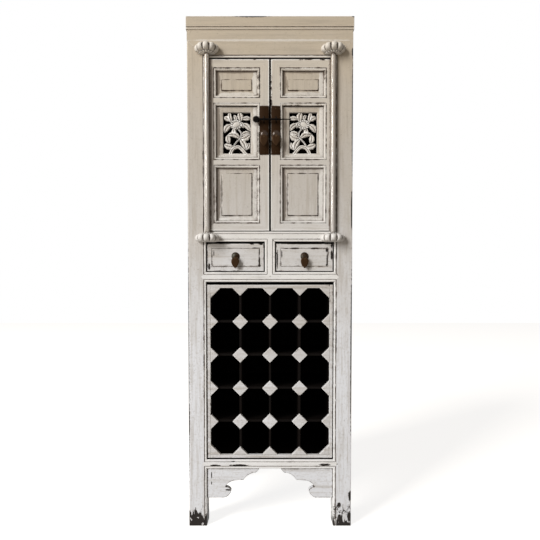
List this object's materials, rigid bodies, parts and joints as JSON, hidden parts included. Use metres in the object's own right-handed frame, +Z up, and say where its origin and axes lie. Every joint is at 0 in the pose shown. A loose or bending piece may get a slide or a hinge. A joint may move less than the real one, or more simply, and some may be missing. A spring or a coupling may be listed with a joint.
{
  "type": "highboard",
  "caption": "Tall slim painted highboard: pierced doors on pivot poles in lobed brackets, drawers with leaf drop pulls, an octagon-cell bottle rack and a scrolled apron between legs.",
  "frame": {"origin": "on the floor, under the middle of the whole object's box", "axes": "+Z up, +X to the right seen from the front, the front faces -Y"},
  "size_m": [0.586, 0.444, 1.795],
  "materials": {
    "painted_wood": "off-white distressed paint, dark glaze in grooves and worn edges",
    "dark_wood": "dark stained unpainted wood",
    "dark_bronze": "dark aged bronze, rubbed on the high places"
  },
  "bodies": {
    "carcass": {"bottom_rail": "painted_wood", "low_rail": "painted_wood", "mid_rail": "painted_wood", "top_rail": "painted_wood", "drawer_mullion": "painted_wood", "frieze_boards": "painted_wood", "cornice_frame": "painted_wood", "top_panel": "painted_wood", "side_panels": "painted_wood", "rack_frame": "painted_wood", "rack_blocks": "painted_wood", "left_front_post": "painted_wood", "right_front_post": "painted_wood", "left_rear_post": "painted_wood", "right_rear_post": "painted_wood", "left_side_rails": "painted_wood", "right_side_rails": "painted_wood", "left_apron_spandrel": "painted_wood", "right_apron_spandrel": "painted_wood", "left_upper_bracket": "painted_wood", "right_upper_bracket": "painted_wood", "left_lower_bracket": "painted_wood", "right_lower_bracket": "painted_wood", "back_rails": "dark_wood", "back_panels": "dark_wood", "rack_floor": "dark_wood", "drawer_floor": "dark_wood", "cupboard_floor": "dark_wood", "cupboard_shelf": "dark_wood", "drawer_guides": "dark_wood", "rack_shelves": "dark_wood", "rack_uprights": "dark_wood"},
    "left_door": {"left_pivot_pole": "painted_wood", "left_door_stiles": "painted_wood", "left_door_rails": "painted_wood", "left_flat_panels": "painted_wood", "left_carved_panel": "painted_wood", "left_lock_plate": "dark_bronze", "left_lock_staple": "dark_bronze", "left_door_pull_boss": "dark_bronze"},
    "left_drawer": {"left_drawer_front": "painted_wood", "left_drawer_box": "dark_wood", "left_drawer_pull_boss": "dark_bronze"},
    "left_door_pull": {"left_door_pull_drop": "dark_bronze"},
    "left_drawer_pull": {"left_drawer_pull_drop": "dark_bronze"},
    "right_door": {"right_pivot_pole": "painted_wood", "right_door_stiles": "painted_wood", "right_door_rails": "painted_wood", "right_flat_panels": "painted_wood", "right_carved_panel": "painted_wood", "right_lock_plate": "dark_bronze", "right_lock_staple": "dark_bronze", "right_door_pull_boss": "dark_bronze", "lock_pin_point": "dark_bronze"},
    "right_drawer": {"right_drawer_front": "painted_wood", "right_drawer_box": "dark_wood", "right_drawer_pull_boss": "dark_bronze"},
    "right_door_pull": {"right_door_pull_drop": "dark_bronze"},
    "right_drawer_pull": {"right_drawer_pull_drop": "dark_bronze"},
    "lock_pin": {"lock_pin": "dark_bronze"}
  },
  "joints": [
    {"name": "left_door_hinge", "type": "hinge", "parent": "carcass", "child": "left_door", "pos_m": [-0.2195, -0.187, 1.352], "axis": [0, 0, -1], "range_deg": [0, 165]},
    {"name": "left_drawer_slide", "type": "slide", "parent": "carcass", "child": "left_drawer", "axis": [0, -1, 0], "range_m": [0, 0.22]},
    {"name": "left_door_pull_swing", "type": "hinge", "parent": "left_door", "child": "left_door_pull", "pos_m": [-0.021, -0.193, 1.38125], "axis": [-1, 0, 0], "range_deg": [0, 80]},
    {"name": "left_drawer_pull_swing", "type": "hinge", "parent": "left_drawer", "child": "left_drawer_pull", "pos_m": [-0.122, -0.1825, 0.95775], "axis": [-1, 0, 0], "range_deg": [0, 80]},
    {"name": "right_door_hinge", "type": "hinge", "parent": "carcass", "child": "right_door", "pos_m": [0.2195, -0.187, 1.352], "axis": [0, 0, 1], "range_deg": [0, 165]},
    {"name": "right_drawer_slide", "type": "slide", "parent": "carcass", "child": "right_drawer", "axis": [0, -1, 0], "range_m": [0, 0.22]},
    {"name": "right_door_pull_swing", "type": "hinge", "parent": "right_door", "child": "right_door_pull", "pos_m": [0.021, -0.193, 1.38125], "axis": [-1, 0, 0], "range_deg": [0, 80]},
    {"name": "right_drawer_pull_swing", "type": "hinge", "parent": "right_drawer", "child": "right_drawer_pull", "pos_m": [0.122, -0.1825, 0.95775], "axis": [-1, 0, 0], "range_deg": [0, 80]},
    {"name": "lock_pin_slide", "type": "slide", "parent": "left_door", "child": "lock_pin", "axis": [-1, 0, 0], "range_m": [0, 0.05]}
  ]
}
